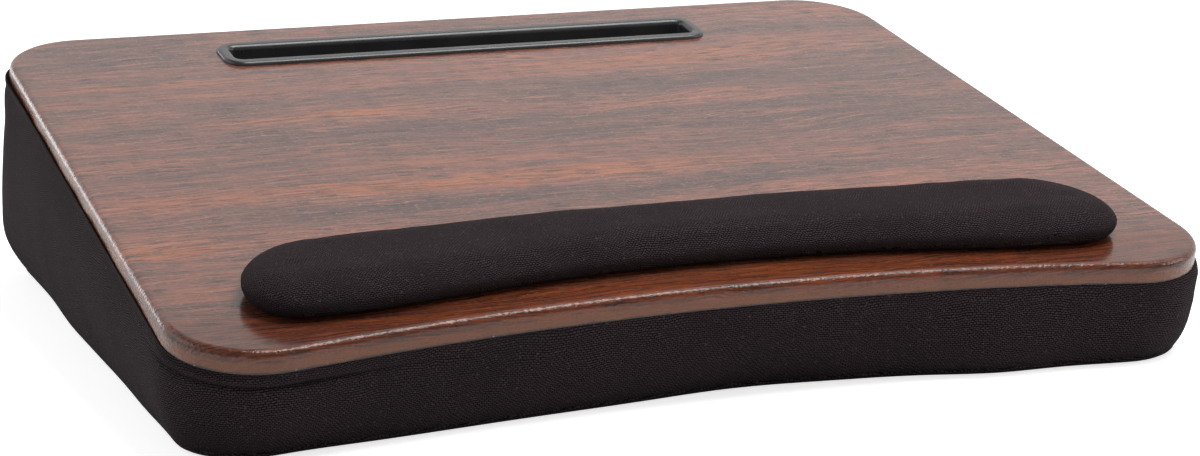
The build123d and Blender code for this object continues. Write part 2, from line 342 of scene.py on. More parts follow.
layers = {}
for name, length, width, detail, roughness, start in (
    ("bands", 420, 34, 2, 0.5, 3.1),
    ("streaks", 130, 6.0, 3, 0.55, 11.9),
    ("fibres", 42, 1.5, 3, 0.6, 23.3),
    ("veins", 110, 3.0, 2, 0.5, 31.7),
    ("lines", 55, 0.8, 1, 0.4, 37.3),
    ("pores", 15, 0.62, 1, 0.4, 41.1),
    ("speckle", 3.2, 0.55, 1, 0.5, 53.9),
):
    stretched = add_node(
        tree, "ShaderNodeMapping",
        values={"Location": (start, start * 1.7, 0), "Scale": (1 / length, 1 / width, 0)},
        links={"Vector": wander},
    )
    layers[name] = add_node(
        tree, "ShaderNodeTexNoise", noise_dimensions="2D",
        values={"Scale": 1.0, "Detail": detail, "Roughness": roughness},
        links={"Vector": stretched.outputs["Vector"]},
    ).outputs["Fac"]

# %% [markdown]
# The print has a few broad warm and cool streaks that the eye remembers, and noise alone never puts
# them in the right place. So they are laid in one by one, as a decorator grains a door: each is a long
# soft ellipse with its place and half sizes in millimetres, and a strength that is warm above zero and
# cool below it.

# %% Woodgrain: streaks laid in one by one
HAND_STREAKS = (
    (-190, 327, 120, 8, 0.60), (-40, 323, 170, 11, 0.30), (120, 312, 150, 20, 0.30),
    (-218, 277, 40, 10, 0.40), (-118, 261, 75, 6, 0.60), (-215, 255, 50, 10, -0.55),
    (-40, 240, 300, 15, -0.70), (-222, 215, 46, 9, 0.35), (60, 222, 190, 8, -0.35),
    (-150, 202, 120, 7, -0.30), (-40, 159, 240, 14, 0.75), (60, 170, 200, 6, 0.25),
    (-70, 137, 210, 8, -0.50), (-235, 112, 34, 9, 0.40), (-205, 372, 80, 20, -0.45),
    (150, 372, 140, 22, 0.12), (-232, 60, 26, 16, 0.40), (185, 235, 90, 26, -0.20),
    (0, 385, 220, 9, -0.15), (0, 20, 330, 44, 0.60), (-225, 120, 60, 70, 0.25),
    (170, 130, 110, 40, 0.25), (-60, 190, 160, 12, 0.20),
)
laid = add_node(
    tree, "ShaderNodeMapRange", clamp=False,
    values={"From Min": 0.3, "From Max": 0.7, "To Min": 0.22, "To Max": 0.72},
    links={"Value": layers["bands"]},
).outputs["Result"]
for across, up_slope, half_length, half_width, warmth in HAND_STREAKS:
    spot = add_node(
        tree, "ShaderNodeMapping", vector_type="TEXTURE",
        values={"Location": (across, up_slope, 0), "Scale": (half_length, half_width, 1)},
        links={"Vector": wander},
    )
    soft = add_node(tree, "ShaderNodeTexGradient", gradient_type="SPHERICAL",
                    links={"Vector": spot.outputs["Vector"]})
    laid = add_node(tree, "ShaderNodeMath", operation="MULTIPLY_ADD", values={1: warmth},
                    links={0: soft.outputs["Fac"], 2: laid}).outputs[0]
finer = add_node(
    tree, "ShaderNodeMapRange", clamp=False, values={"To Min": -0.43, "To Max": 0.43},
    links={"Value": layers["streaks"]},
)
laid = add_node(tree, "ShaderNodeMath", operation="ADD", links={0: laid, 1: finer.outputs["Result"]})
print("hand-laid streaks:", len(HAND_STREAKS))

# %% [markdown]
# The colours follow the warmth from grey brown over rose brown to orange brown. Then each finer layer
# darkens or lightens a little: fibres, dark veins, and the short dark pores that make it walnut.

# %% Woodgrain: colours, gloss and relief
tones = add_node(tree, "ShaderNodeValToRGB", links={"Fac": laid.outputs[0]})
ramp = tones.color_ramp.elements
ramp[0].color = linear("553731")
ramp[1].color = linear("9c5632")
ramp.new(0.30).color = linear("6a4339")
ramp.new(0.62).color = linear("875140")
colour = tones.outputs["Color"]
for layer, low, high, amount, tone in (
    ("fibres", 0.52, 0.74, 0.50, "ab6d50"),
    ("fibres", 0.48, 0.28, 0.68, "46302b"),
    ("veins", 0.62, 0.74, 0.42, "3c2822"),
    ("lines", 0.54, 0.64, 0.58, "3a2723"),
    ("pores", 0.57, 0.64, 0.72, "2c1c19"),
    ("speckle", 0.62, 0.74, 0.35, "a98a80"),
):
    colour = lay_over(tree, colour, linear(tone), layers[layer], low, high, amount)

# %% [markdown]
# In front of the wrist rest the print is darkened and warmed to a plain orange brown. This is partly its
# own warmer tone and partly painted shade and painted dark reflection of the wrist rest.
# The zone ends softly between 26 and 58 mm up the slope and follows the wandering grain.

# %% Woodgrain: the warm front, with painted shade of the rest
line = add_node(tree, "ShaderNodeSeparateXYZ", links={0: wander}).outputs["Y"]
# painted shade and dark reflection of the wrist rest, multiplied over the print together with its warmer
# tone
colour = lay_over(tree, colour, (0.58, 0.45, 0.36, 1), line, 58, 26, blend="MULTIPLY")

# %% [markdown]
# Below the roll, some 4 mm down, the stretched print loses its grain and is a plain warm brown. It ends
# at the board's lower edge, where it was trimmed by hand: the last half millimetre or so is darker,
# with a few pale nicks where the paper shows. The levels are in millimetres below the top. On the roll
# fine wrinkles a millimetre or two apart break up the lamp's reflection.

# %% Woodgrain: trimmed edge and rolled edge
edge_wave = add_node(tree, "ShaderNodeTexNoise", values={"Scale": 160.0},
                     links={"Vector": here})
edge_level = add_node(
    tree, "ShaderNodeMath", operation="MULTIPLY_ADD", values={1: 1.6},
    links={0: edge_wave.outputs["Fac"], 2: board_level},
)
for low, high, amount, tone in ((-3.2, -5.2, 0.7, "784527"), (-8.2, -9.0, 0.9, "2a1814")):
    colour = lay_over(tree, colour, linear(tone), edge_level.outputs[0], low, high, amount)
nicks = add_node(tree, "ShaderNodeTexNoise", values={"Scale": 420.0, "Detail": 1.0},
                 links={"Vector": here})
nick_level = add_node(tree, "ShaderNodeMapRange", values={"From Min": -9.2, "From Max": -9.6},
                      links={"Value": board_level})
nicks = add_node(
    tree, "ShaderNodeMapRange", values={"From Min": 0.70, "From Max": 0.74, "To Max": 0.6},
    links={"Value": nicks.outputs["Fac"]},
)
nicks = add_node(tree, "ShaderNodeMath", operation="MULTIPLY",
                 links={0: nick_level.outputs["Result"], 1: nicks.outputs["Result"]})
colour = add_node(
    tree, "ShaderNodeMix", data_type="RGBA", values={MIX_B: linear("b9a79a")},
    links={0: nicks.outputs[0], MIX_A: colour},
).outputs[MIX_RESULT]
tree.links.new(colour, shader.inputs["Base Color"])

shader.inputs["IOR"].default_value = 1.5
rough = add_node(
    tree, "ShaderNodeMapRange",
    values={"From Min": 0.55, "From Max": 0.75, "To Min": 0.17, "To Max": 0.30},
    links={"Value": layers["pores"]},
)
roll_near = add_node(tree, "ShaderNodeMapRange", values={"From Min": -0.05, "From Max": -0.5},
                     links={"Value": board_level})
gloss = add_node(tree, "ShaderNodeMath", operation="MULTIPLY_ADD", values={1: 0.04},
                 links={0: roll_near.outputs["Result"], 2: rough.outputs["Result"]})
tree.links.new(gloss.outputs[0], shader.inputs["Roughness"])
wrinkles = add_node(tree, "ShaderNodeTexNoise", values={"Scale": 650.0},
                    links={"Vector": here})
wrinkles = add_node(tree, "ShaderNodeMath", operation="MULTIPLY",
                    links={0: wrinkles.outputs["Fac"], 1: roll_near.outputs["Result"]})
relief = add_node(tree, "ShaderNodeMath", operation="MULTIPLY_ADD", values={1: 0.04},
                  links={0: layers["fibres"], 2: wrinkles.outputs[0]})
bump = add_node(tree, "ShaderNodeBump", values={"Strength": 0.7, "Distance": 0.0005},
                links={"Height": relief.outputs[0]})
tree.links.new(bump.outputs["Normal"], shader.inputs["Normal"])
finish(woodgrain, film)

# %% [markdown]
# The tray in the board is a black moulding. ABS straight from the mould is nearly black, with a clear
# soft gloss. Its surface has a very fine spark-eroded grain, and handling leaves faint hairlines that
# run along the tray, so its gloss is uneven.

# %% Moulded ABS
moulded_abs, tree, shader = new_material("moulded_black_abs")
here = add_node(tree, "ShaderNodeTexCoord").outputs["Object"]
spark_grain = add_node(tree, "ShaderNodeTexNoise", values={"Scale": 1900.0},
                       links={"Vector": here})
along = add_node(tree, "ShaderNodeMapping", values={"Scale": (14, 900, 900)},
                 links={"Vector": here})
hairlines = add_node(tree, "ShaderNodeTexNoise", values={"Scale": 1.0},
                     links={"Vector": along.outputs["Vector"]})
smudges = add_node(tree, "ShaderNodeTexNoise", values={"Scale": 55.0, "Detail": 3.0},
                   links={"Vector": here})
tone = add_node(
    tree, "ShaderNodeMix", data_type="RGBA",
    values={MIX_A: linear("2b2a2b"), MIX_B: linear("3c3b3c")}, links={0: smudges.outputs["Fac"]},
)
tree.links.new(tone.outputs[MIX_RESULT], shader.inputs["Base Color"])
gloss = add_node(tree, "ShaderNodeMapRange",
                 values={"From Min": 0.3, "From Max": 0.7, "To Min": 0.22, "To Max": 0.34},
                 links={"Value": smudges.outputs["Fac"]})
tree.links.new(gloss.outputs["Result"], shader.inputs["Roughness"])
shader.inputs["IOR"].default_value = 1.53
relief = add_node(tree, "ShaderNodeMath", operation="MULTIPLY_ADD", values={1: 0.5},
                  links={0: hairlines.outputs["Fac"], 2: spark_grain.outputs["Fac"]})
bump = add_node(tree, "ShaderNodeBump", values={"Strength": 0.25, "Distance": 0.00004},
                links={"Height": relief.outputs[0]})
tree.links.new(bump.outputs["Normal"], shader.inputs["Normal"])
finish(moulded_abs, nodes["slot_tray"])

# %% [markdown]
# Most pieces inside and under the cushion are sheet goods and foams. They share one way of being
# drawn: two tones mixed by a noise of the real texture's size, a roughness, and a relief from the same
# noise. The table gives each its own: wood chips in the fibreboard, the fine print of the melamine
# paper, the smooth face and haired back of hardboard, open cells in the foams, and the spangle of
# galvanised wire.

# %% Materials of the hidden pieces
SHEETS_AND_FOAMS = (
    # name, pieces, dark and light tone, texture size in mm, times longer across, roughness, relief in mm
    ("medium_density_fibreboard", ("board_core",), "8a6f50", "b39a78", 1.1, 1, 0.85, 0.05),
    ("brown_melamine_paper", ("backing_sheet",), "5b4638", "6d5646", 0.8, 6, 0.45, 0.01),
    ("tempered_hardboard", ("mounting_plate",), "4d3524", "6a4a33", 0.9, 1, 0.6, 0.03),
    ("polyurethane_foam", ("support_wedge",), "b8b2a2", "d6d0c0", 1.4, 1, 0.95, 0.45),
    ("memory_foam", ("memory_layer",), "c9b98e", "ddcfa8", 0.7, 1, 0.9, 0.12),
    ("rest_polyurethane_foam", ("wrist_rest_foam",), "4a4a4c", "5e5e60", 1.1, 1, 0.95, 0.30),
    ("calendered_polystyrene_sheet", ("wrist_rest_plate",), "1b1b1c", "262627", 0.5, 1, 0.5, 0.01),
    ("acrylic_foam_tape", ("wrist_rest_tape", "mounting_strips"), "cfcdc6", "dedcd6", 0.6, 1, 0.7, 0.03),
)
for name, piece_names, dark, light, size, longer, rough, relief in SHEETS_AND_FOAMS:
    material, tree, shader = new_material(name)
    here = add_node(tree, "ShaderNodeTexCoord").outputs["Object"]
    place = add_node(
        tree, "ShaderNodeMapping",
        values={"Scale": [1 / (size * MM * part) for part in (longer, 1, 1)]}, links={"Vector": here},
    )
    texture = add_node(tree, "ShaderNodeTexNoise",
                       values={"Scale": 1.0, "Detail": 3.0, "Roughness": 0.6},
                       links={"Vector": place.outputs["Vector"]})
    cover = add_node(tree, "ShaderNodeMapRange", values={"From Min": 0.35, "From Max": 0.65},
                     links={"Value": texture.outputs["Fac"]})
    tone = add_node(
        tree, "ShaderNodeMix", data_type="RGBA",
        values={MIX_A: linear(dark), MIX_B: linear(light)}, links={0: cover.outputs["Result"]},
    )
    tree.links.new(tone.outputs[MIX_RESULT], shader.inputs["Base Color"])
    uneven = add_node(
        tree, "ShaderNodeMapRange", values={"To Min": rough - 0.06, "To Max": min(rough + 0.06, 1)},
        links={"Value": texture.outputs["Fac"]},
    )
    tree.links.new(uneven.outputs["Result"], shader.inputs["Roughness"])
    bump = add_node(tree, "ShaderNodeBump", values={"Strength": 0.8, "Distance": relief * MM},
                    links={"Height": texture.outputs["Fac"]})
    tree.links.new(bump.outputs["Normal"], shader.inputs["Normal"])
    finish(material, *[nodes[piece_name] for piece_name in piece_names])

# %% [markdown]
# Staples are galvanised steel wire: a grey metal whose zinc skin is a little mottled and dull, with
# draw lines too fine to see.

# %% Galvanised wire
galvanised, tree, shader = new_material("galvanised_staple_wire")
here = add_node(tree, "ShaderNodeTexCoord").outputs["Object"]
spangle = add_node(tree, "ShaderNodeTexNoise", values={"Scale": 900.0},
                   links={"Vector": here})
tone = add_node(
    tree, "ShaderNodeMix", data_type="RGBA",
    values={MIX_A: linear("8f9296"), MIX_B: linear("b9bcbf")}, links={0: spangle.outputs["Fac"]},
)
tree.links.new(tone.outputs[MIX_RESULT], shader.inputs["Base Color"])
shader.inputs["Metallic"].default_value = 1.0
dullness = add_node(tree, "ShaderNodeMapRange", values={"To Min": 0.28, "To Max": 0.5},
                    links={"Value": spangle.outputs["Fac"]})
tree.links.new(dullness.outputs["Result"], shader.inputs["Roughness"])
finish(galvanised, nodes["cover_staples"])

# %% [markdown]
# The cushion's cover is two pieces of cloth: a band round the sides, and a panel that lies on the
# table. The band is stapled under the board by a hem, comes out from under the board's edge, and is
# sewn to the panel a few millimetres above the table. The fixed frame holds it as a plain smooth
# solid; here it becomes cloth. First the board's outline is traced, because the band follows it: rays
# are cast at the edge of the board all the way round, and the trace is divided into even steps that
# start at the middle of the back, where the band's own ends are joined.

# %% Trace the board's outline
COLUMNS = 384
TRACE_RAYS = 2880


def mesh_tree(*objects):
    """One search tree over the faces of several meshes."""
    corners = []
    faces = []
    for piece in objects:
        start = len(corners)
        corners += [vertex.co.copy() for vertex in piece.data.vertices]
        faces += [[start + i for i in face.vertices] for face in piece.data.polygons]
    return BVHTree.FromPolygons(corners, faces)


film_tree = mesh_tree(film)
board_middle = on_board(0, board_depth / 2, -6)
trace = []
for step in range(TRACE_RAYS):
    angle = 2 * pi * step / TRACE_RAYS
    inward = Vector((sin(angle), 0, 0)) - board_back * cos(angle)
    trace.append(film_tree.ray_cast(board_middle - inward * 0.5, inward)[0])
trace.append(trace[0])
travelled = [0.0]
for here, there in zip(trace, trace[1:]):
    travelled.append(travelled[-1] + (there - here).length)
perimeter = travelled[-1]

outline = []
place = 0
for column in range(COLUMNS):
    target = perimeter * column / COLUMNS
    while travelled[place + 1] < target:
        place += 1
    share = (target - travelled[place]) / (travelled[place + 1] - travelled[place])
    outline.append(trace[place].lerp(trace[place + 1], share))
outward = []
for column in range(COLUMNS):
    along = outline[(column + 2) % COLUMNS] - outline[column - 2]
    outward.append(Vector((along.y, -along.x, 0)).normalized())
print("outline of the board:", round(perimeter / MM), "mm")

# %% [markdown]
# Nothing filled with foam is regular. A few low swells and hollows, each with its place, its reach and
# its height in millimetres, make the sides of this cushion the shape that they have: fuller at the
# front right, drawn in at the middle of the front, square at the foot of the back left corner. Slow
# noise adds the small unevenness of cloth over foam.

# %% Swells and hollows of the cushion
SWELLS = (
    # across, back, height above the table, reach in plan, reach in height, how far out (all mm)
    (-205, -195, 6, 34, 22, -3.0),
    (-130, -200, 4, 55, 18, 0.9),
    (15, -190, 4, 46, 18, -5.6),
    (140, -200, 4, 36, 24, 9.0),
    (205, -195, 4, 36, 24, 4.4),
    (252, -165, 30, 32, 20, -1.0),
    (250, -170, 42, 26, 7, 1.8),
    (-254, 180, 4, 45, 30, -0.7),
    (-256, 195, 23, 34, 11, 2.4),
    (-254, 110, 4, 40, 26, -1.2),
    (-254, 45, 4, 34, 26, 0.6),
    (-254, -70, 4, 50, 24, -1.2),
    (-250, -150, 6, 36, 24, -1.6),
    (-254, 165, 104, 55, 11, 1.6),
    (-254, 172, 42, 40, 24, 1.0),
)


def swell(point):
    """How far out the cloth stands here, in metres."""
    out = 0.0
    for across, back, height, reach, rise, amount in SWELLS:
        plan = ((point.x / MM - across) ** 2 + (point.y / MM - back) ** 2) / reach**2
        level = ((point.z / MM - height) / rise) ** 2
        out += amount * exp(-plan - level)
    return out * MM


print("swells and hollows:", len(SWELLS))

# %% [markdown]
# Where the band comes out from under the board it is a soft fold. Round the front left corner the fold
# is thick, and a sharp crease lies under it. Along the left side and the right end the fold is pressed
# up beside the board's edge and hides its lowest millimetres, more in some places than in others.

# %% Fold under the board's edge
PRESSED_UP = (
    # across, back, reach in plan, how far up beside the edge (mm)
    (-256, 150, 60, 3.0),
    (-256, 60, 60, 2.0),
    (-256, -40, 60, 1.8),
    (-254, -130, 44, 1.4),
    (254, -160, 30, 1.0),
    (254, -60, 90, 0.8),
)
CREASES = (
    # across, back, reach in plan, depth of the crease (mm)
    (-232, -188, 30, 2.6),
    (-195, -204, 26, 2.4),
    (-150, -202, 26, 1.0),
)


def near(point, table):
    """The table's bumps added up at this point in plan."""
    total = 0.0
    for across, back, reach, amount in table:
        plan = ((point.x / MM - across) ** 2 + (point.y / MM - back) ** 2) / reach**2
        total += amount * exp(-plan)
    return total


# %% [markdown]
# The band is cut flat, and its flat shape is also its map for the weave: a mesh grid as long as the
# outline. Each of its columns is then laid over the frame's plain cover from the sewn edge up to the
# hem. The place of a vertex comes from a ray cast at that plain cover, moved by the swells.

# %% Lay the band over the frame
SEAM_HEIGHT = 3.5
WALL_END = 7.5  # the plain wall ends this far below the board, where the fold begins (mm)
CLOTH = 1.2  # how thick the cloth is (mm)
WALL_ROWS = 17
UNDERSIDE = -BOARD_THICKNESS
CREASE_ROWS = ((6.2, -0.45), (5.5, -1.0), (4.9, -0.5), (3.6, 0.2), (2.1, 0.3))  # mm down, share out
HEM_ROWS = ((1.2, 0.15), (6, 0.1), (24, 0.1))  # mm inwards, mm below the board

cover_tree = mesh_tree(nodes["cover_side_band"], nodes["cover_bottom_panel"])


def cover_point(column, height):
    """Where the plain cover stands at this column and height, with its swell."""
    start = outline[column] + outward[column] * 60 * MM
    start.z = height
    hit = cover_tree.ray_cast(start, -outward[column])[0]
    return hit + outward[column] * swell(hit)


def wobble(column, row, size):
    """Even, repeatable noise that joins up round the band."""
    angle = 2 * pi * column / COLUMNS
    place = Vector((cos(angle) * 270, sin(angle) * 270, row * 4.0)) / size
    return noise.noise(place)


band_rows = []
for column, (edge, away) in enumerate(zip(outline, outward)):
    under = edge + board_up * (UNDERSIDE - board_millimetres(edge)[2]) * MM
    lift = max(near(edge, PRESSED_UP) * (1 + 0.5 * wobble(column, 0, 22)), 0) * MM
    crease = near(edge, CREASES) * MM
    wall_end = under.z - WALL_END * MM
    rows = []
    for row in range(WALL_ROWS):
        share = row / (WALL_ROWS - 1)
        height = SEAM_HEIGHT * MM + (wall_end - SEAM_HEIGHT * MM) * share
        point = cover_point(column, max(height, 3.7 * MM))
        point.z = height
        ripple = wobble(column, row, 26) * 0.45 + wobble(column, row, 9) * 0.12
        point += away * ripple * MM * sin(pi * min(share * 1.2, 1.0))
        rows.append(point)
    for drop, crease_share in CREASE_ROWS:
        point = cover_point(column, under.z - drop * MM)
        point += away * (crease * crease_share + wobble(column, 20, 11) * 0.2 * MM)
        rows.append(point)
    wall_top = cover_point(column, under.z - 1.0 * MM)
    proud = max((wall_top - under).dot(away), 0.2 * MM) + lift * 0.35
    rows.append(under + away * proud + board_up * (lift - 0.9 * MM))
    rows.append(under + away * (proud * 0.62 + lift * 0.25) + board_up * (lift - 0.25 * MM))
    rows.append(under + away * min(proud * 0.25, 0.3 * MM) + board_up * (lift * 0.7 - 0.1 * MM))
    for inwards, below in HEM_ROWS:
        rows.append(under - away * inwards * MM - board_up * below * MM)
    band_rows.append(rows)
band_rows.append(band_rows[0])
ROWS = len(band_rows[0])


def cloth_strip(name, row_count):
    """A flat strip of cloth as a mesh grid, with the column and the row of each of its vertices."""
    bpy.ops.mesh.primitive_grid_add(x_subdivisions=COLUMNS, y_subdivisions=row_count - 1, size=2)
    strip = bpy.context.active_object
    strip.name = name
    places = []
    for vertex in strip.data.vertices:
        column = round((vertex.co.x + 1) / 2 * COLUMNS)
        places.append((column, round((vertex.co.y + 1) / 2 * (row_count - 1))))
    return strip, places


band, places = cloth_strip("cushion_side_band", ROWS)
weave_map = band.data.uv_layers.active.data
for loop in band.data.loops:
    column, row = places[loop.vertex_index]
    rows = band_rows[column]
    height = sum((rows[i + 1] - rows[i]).length for i in range(row))
    weave_map[loop.index].uv = (perimeter / COLUMNS * column, height)
held = []
for vertex, (column, row) in zip(band.data.vertices, places):
    vertex.co = band_rows[column][row]
    out = board_millimetres(vertex.co)[2]
    if vertex.co.z < (SEAM_HEIGHT + 0.3) * MM or out > UNDERSIDE - 6.4:
        held.append(vertex.index)
band.vertex_groups.new(name="pinned").add(held, 1.0, "REPLACE")
merge_vertices(band)
print("band:", COLUMNS, "columns and", ROWS, "rows")

# %% [markdown]
# Foam pushes the cloth out and the cloth pulls back, and a short cloth simulation finds that balance:
# a little pressure from inside, no gravity, twenty steps. What is sewn or stapled is pinned. No point
# may end more than a millimetre or so from where it was laid, so the cushion keeps its measured size.

# %% Let the foam fill the cloth
def fill_out(piece, pressure, reach):
    """Swells a pad by a short cloth simulation; no point moves further than reach, in metres."""
    laid = [vertex.co.copy() for vertex in piece.data.vertices]
    cloth = piece.modifiers.new("cloth", "CLOTH")
    settings = cloth.settings
    settings.quality = 5
    settings.mass = 0.3
    settings.tension_stiffness = 12
    settings.compression_stiffness = 12
    settings.shear_stiffness = 5
    settings.bending_stiffness = 0.4
    settings.use_pressure = True
    settings.uniform_pressure_force = pressure
    settings.effector_weights.gravity = 0
    settings.vertex_group_mass = "pinned"
    cloth.point_cache.frame_start = 1
    cloth.point_cache.frame_end = 20
    for number in range(1, 21):
        bpy.context.scene.frame_set(number)
    select_only(piece)
    bpy.ops.object.modifier_apply(modifier="cloth")
    bpy.context.scene.frame_set(1)
    furthest = 0
    for vertex, start in zip(piece.data.vertices, laid):
        moved = vertex.co - start
        furthest = max(furthest, moved.length)
        if moved.length > reach:
            vertex.co = start + moved * (reach / moved.length)
    print("cloth moved", piece.name, "by up to", round(furthest / MM, 2), "mm, kept to", reach / MM)


fill_out(band, 4, 1.2 * MM)

# %% [markdown]
# The band gets one subdivision, for smooth curves, and then the cloth's own thickness, inwards. It
# takes the place of the plain solid in the frame.

# %% Give the band its thickness
apply_modifier(band, "SUBSURF", levels=1)
apply_modifier(band, "SOLIDIFY", thickness=CLOTH * MM, offset=-1)
bpy.ops.object.shade_smooth()
print("band:", len(band.data.polygons), "faces")
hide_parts("cover_side_band")
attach(band, "root")

# %% [markdown]
# The panel below is sewn to the band along one ring. From that seam it turns under in a small round,
# and then it is flat, since it lies on the table. It starts as a flat strip as the band did and is
# laid in rings: even rings from the middle point out, then the rings of the round. All its faces meet
# at the middle, which subdivision handles badly, and a flat panel doesn't need it.

# %% Bottom panel
# millimetres in from the seam, and above the table
PANEL_ROUND = ((9.0, 0.0), (5.6, 0.0), (3.2, 0.35), (1.5, 1.25), (0.5, 2.4), (0.0, 3.45))
FLAT_RINGS = 6
PANEL_ROWS = FLAT_RINGS + len(PANEL_ROUND)

seam_ring = [rows[0] for rows in band_rows]
panel_middle = Vector((0, (seam_ring[0].y + seam_ring[COLUMNS // 2].y) / 2, 0))
panel, places = cloth_strip("cushion_bottom_panel", PANEL_ROWS)
for vertex, (column, row) in zip(panel.data.vertices, places):
    inset, height = PANEL_ROUND[max(row - FLAT_RINGS, 0)]
    place = seam_ring[column] - outward[column % COLUMNS] * inset * MM
    place.z = height * MM
    vertex.co = panel_middle.lerp(place, min(row / FLAT_RINGS, 1))
for loop in panel.data.loops:
    panel.data.uv_layers[0].data[loop.index].uv = panel.data.vertices[loop.vertex_index].co.xy
merge_vertices(panel)
apply_modifier(panel, "SOLIDIFY", thickness=CLOTH * MM, offset=-1)
bpy.ops.object.shade_smooth()
print("panel:", len(panel.data.polygons), "faces")
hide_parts("cover_bottom_panel")
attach(panel, "root")

# %% [markdown]
# The foam under the cloth has to follow the hollows, or it would show through them. The frame's own
# foam blocks stay as they are; copies of them take their place here. Where the cloth goes in, their
# side walls go in with it, and a little further, to leave room for the small waves of the cloth.

# %% Foam that follows the cloth
WALL_REACH = 26  # a point of the foam no further than this from the outline is on its wall (mm)
CREASE_LEVEL = 17  # the creases lie this far below the board's top, at the outline (mm)
CREASE_SPREAD = 9  # and press the foam in over about this height (mm)
FOLLOW = 1.15  # how much of a hollow's depth the foam follows
ROOM = 1.3  # left free for the small waves of the cloth (mm)

outline_tree = KDTree(COLUMNS)
for column, edge in enumerate(outline):
    outline_tree.insert((edge.x, edge.y, 0), column)
outline_tree.balance()
for name, slot_name in (("support_wedge", "wedge_foam"), ("memory_layer", "memory_foam")):
    foam = bpy.data.objects.new(name + "_under_cloth", nodes[name].data.copy())
    bpy.context.scene.collection.objects.link(foam)
    merge_vertices(foam)
    moved = 0
    for vertex in foam.data.vertices:
        _, column, distance = outline_tree.find((vertex.co.x, vertex.co.y, 0))
        if distance > WALL_REACH * MM:
            continue
        above = (outline[column].z - CREASE_LEVEL * MM - vertex.co.z) / (CREASE_SPREAD * MM)
        in_crease = exp(-(above**2)) * near(vertex.co, CREASES) * MM
        vertex.co += outward[column] * (min(swell(vertex.co), 0) * FOLLOW - ROOM * MM - in_crease)
        moved += 1
    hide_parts(name)
    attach(foam, "root")
    print(foam.name, moved, "wall points follow the cloth")

# %% [markdown]
# The wrist rest is a foam pad in the same cloth, low and long, with two wide lobes and a waist between
# them. Its plain solids in the frame are a cover, a foam core and a plate. Copies of the three are
# joined and remeshed into one even skin; then the skin is drawn onto the plain cover again, smoothed,
# and filled out by the same short simulation as the cushion. Its underside stays flat on the board.

# %% Skin of the wrist rest
bpy.ops.object.select_all(action="DESELECT")
copies = []
for name in ("wrist_rest_cover", "wrist_rest_foam", "wrist_rest_plate"):
    copy = bpy.data.objects.new("wrist_rest_pad", nodes[name].data.copy())
    bpy.context.scene.collection.objects.link(copy)
    copy.select_set(True)
    copies.append(copy)
bpy.context.view_layer.objects.active = copies[0]
bpy.ops.object.join()
rest = bpy.context.active_object
rest.name = "wrist_rest_pad"
merge_vertices(rest)
rest.data.remesh_voxel_size = 3 * MM
bpy.ops.object.voxel_remesh()
rest_tree = mesh_tree(nodes["wrist_rest_cover"])
print("rest:", len(rest.data.vertices), "vertices after the remesh")

# %% [markdown]
# The remesh leaves small steps. Smoothing takes them out but also shrinks the pad, so after each
# smoothing every vertex goes back to the nearest point of the plain cover. The last smoothing isn't
# followed by that, which rounds the plain cover's hard line where its top meets its sides.

# %% Smooth the skin
REST_LEVEL = 0.05  # how far out of the board the flat underside lies (mm)
UNDERSIDE_REACH = 1.4  # what is this near the board after smoothing belongs to the underside (mm)


def smooth_skin(piece, rounds):
    """Blender's own vertex smoothing, all over the piece."""
    select_only(piece)
    bpy.ops.object.mode_set(mode="EDIT")
    bpy.ops.mesh.select_all(action="SELECT")
    bpy.ops.mesh.vertices_smooth(factor=0.5, repeat=rounds)
    bpy.ops.object.mode_set(mode="OBJECT")


for rounds in (6, 6, 3):
    for vertex in rest.data.vertices:
        vertex.co = rest_tree.find_nearest(vertex.co)[0]
    smooth_skin(rest, rounds)

underside = []
for vertex in rest.data.vertices:
    out = board_millimetres(vertex.co)[2]
    if out < UNDERSIDE_REACH:
        vertex.co += board_up * (REST_LEVEL - out) * MM
        underside.append(vertex.index)
rest.vertex_groups.new(name="pinned").add(underside, 1.0, "REPLACE")
fill_out(rest, 4, 1.0 * MM)

# %% [markdown]
# The pad has to stay outside its own foam, and smoothing drew its sides inwards. A line runs along the
# middle of the pad, from lobe to lobe. From that line every point of the skin is looked at outwards: if
# it lies inside the plain cover, it goes back out, fully on the sides and partly on the top, which
# leaves the top softly crowned.

# %% Keep the skin outside its foam
# all in millimetres
SPINE_END = 180
SPINE_LEVEL = 5
SLICE = 4
NEAR_SLICES = 12

spine = []
for place in range(-196, 197, SLICE):
    ups = [board_millimetres(vertex.co)[1] for vertex in rest.data.vertices
           if abs(vertex.co.x / MM - place) < SLICE]
    spine.append((place, (min(ups) + max(ups)) / 2))


def spine_line(across):
    """How far up the slope the pad's middle line runs at this place across."""
    slices = [line for place, line in spine if abs(place - across) < NEAR_SLICES]
    return sum(slices) / len(slices)


brought_back = 0
for vertex in rest.data.vertices:
    across, _, out = board_millimetres(vertex.co)
    if out < 0.4:
        continue
    middle = min(max(across, -SPINE_END), SPINE_END)
    from_spine = (vertex.co - on_board(middle, spine_line(middle), SPINE_LEVEL)).normalized()
    surface = rest_tree.ray_cast(vertex.co + from_spine * 30 * MM, -from_spine)[0]
    inside = (surface - vertex.co).dot(from_spine) if surface else 0
    if inside > 0:
        share = min(max((13 - out) / 5, 0), 1)
        vertex.co += from_spine * max(inside * share, inside - 0.5 * MM)
        brought_back += 1
print("brought back to the plain cover:", brought_back, "points")

# %% [markdown]
# The photograph shows that the pad's far edge isn't straight: it swells on both sides of the middle
# and dips between them. The same low bumps as on the cushion do that, here up the slope.

